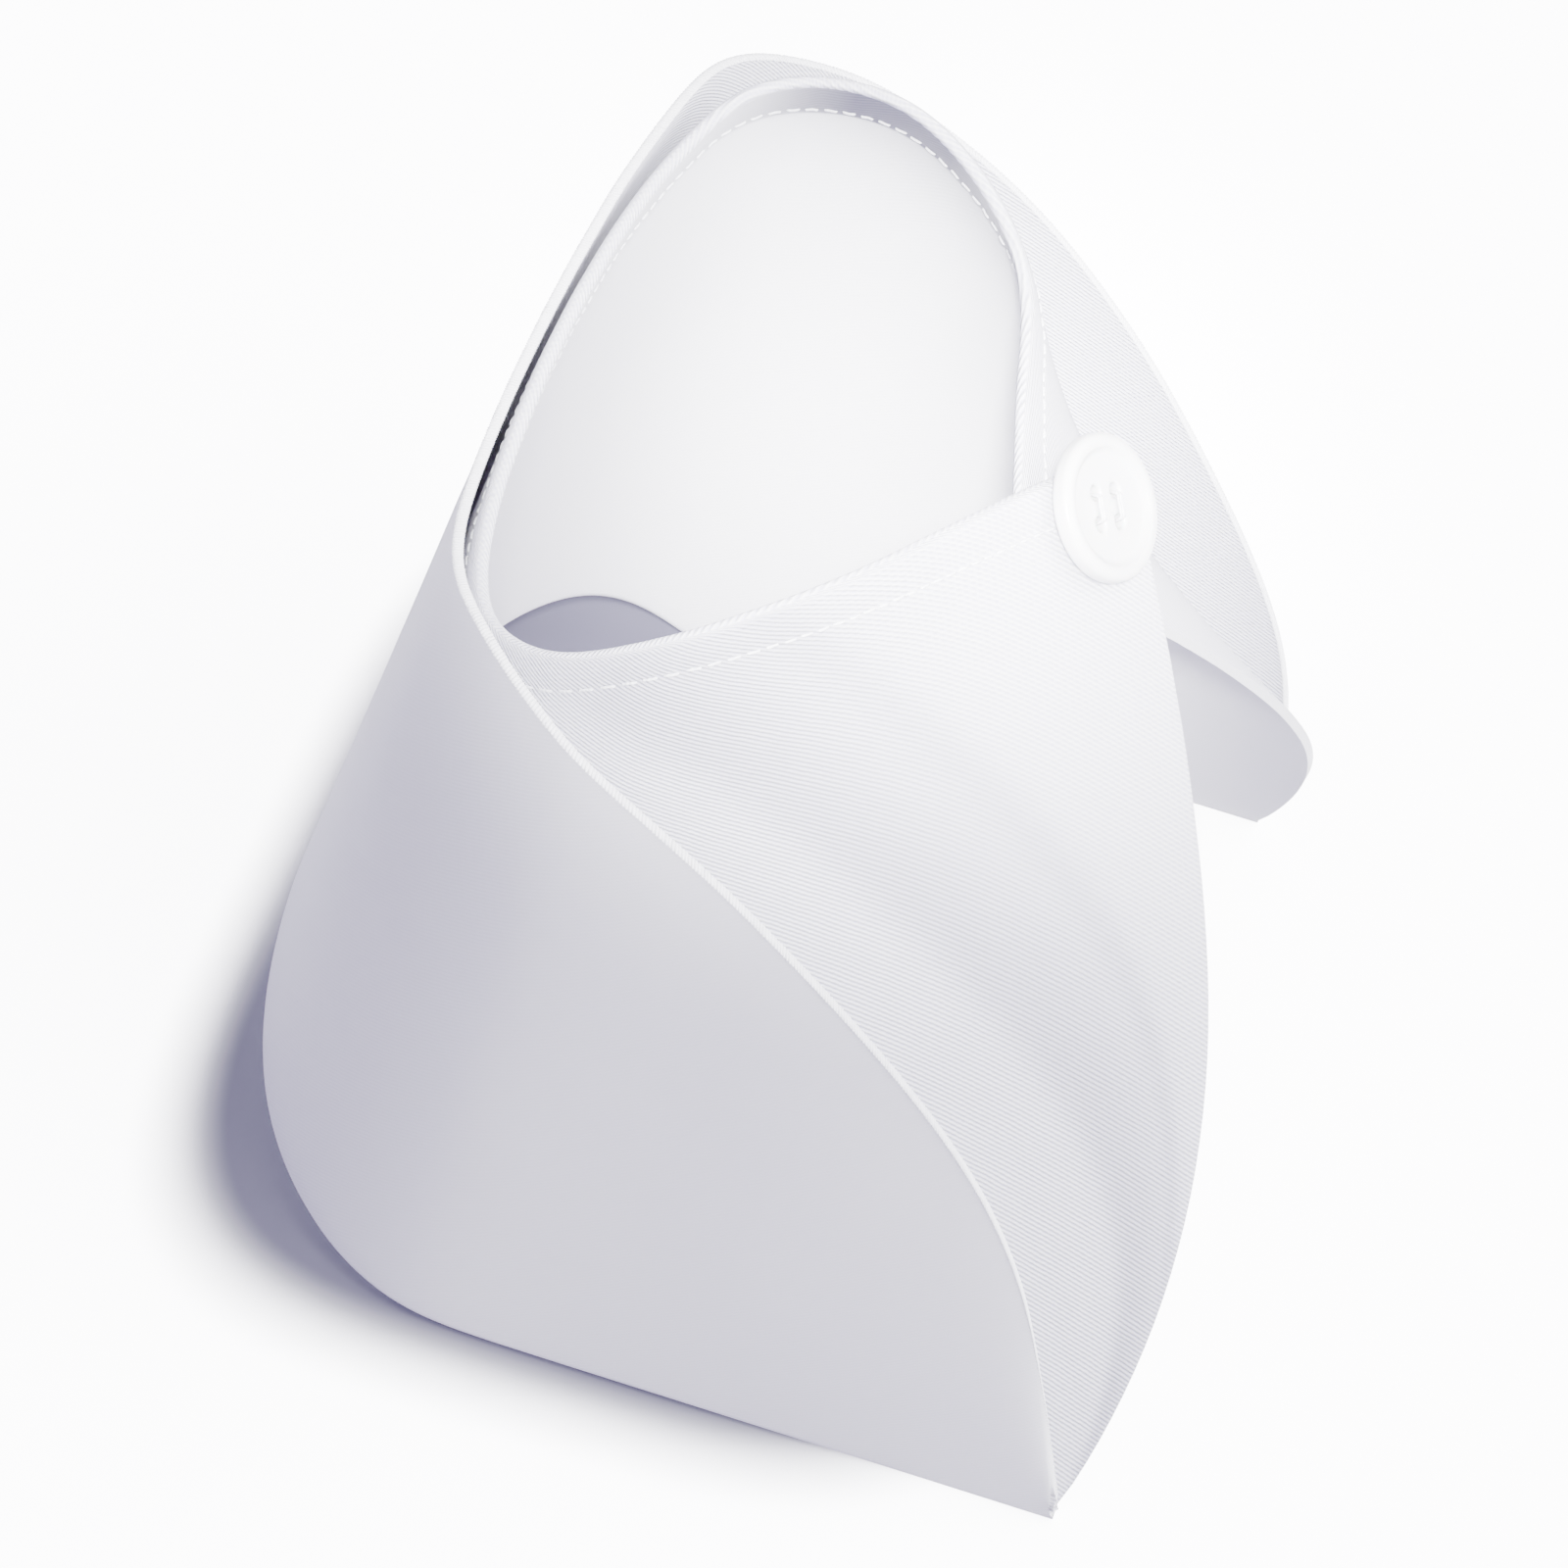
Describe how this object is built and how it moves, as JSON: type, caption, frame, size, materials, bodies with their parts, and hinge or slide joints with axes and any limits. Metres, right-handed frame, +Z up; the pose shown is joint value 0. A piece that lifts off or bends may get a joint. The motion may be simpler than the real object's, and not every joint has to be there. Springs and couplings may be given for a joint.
{
  "type": "nurse cap",
  "caption": "White swallow-tail nurse cap: one stiff cloth sheet folded into an inner crown and a tall turned-up cuff, closed at the back with a round button.",
  "frame": {"origin": "on the surface, under the middle of the cap's bounding box", "axes": "+X to the wearer's left, +Y to the back (button and tails), +Z up"},
  "size_m": [0.1794, 0.1512, 0.1335],
  "materials": {
    "cap_cloth": "matte stiffened twill",
    "button_plastic": "smooth, slightly glossy",
    "sewing_thread": "matte thread"
  },
  "bodies": {
    "root": {"crown": "cap_cloth", "turned_up_cuff": "cap_cloth", "back_button": "button_plastic", "button_thread": "sewing_thread"}
  },
  "joints": []
}
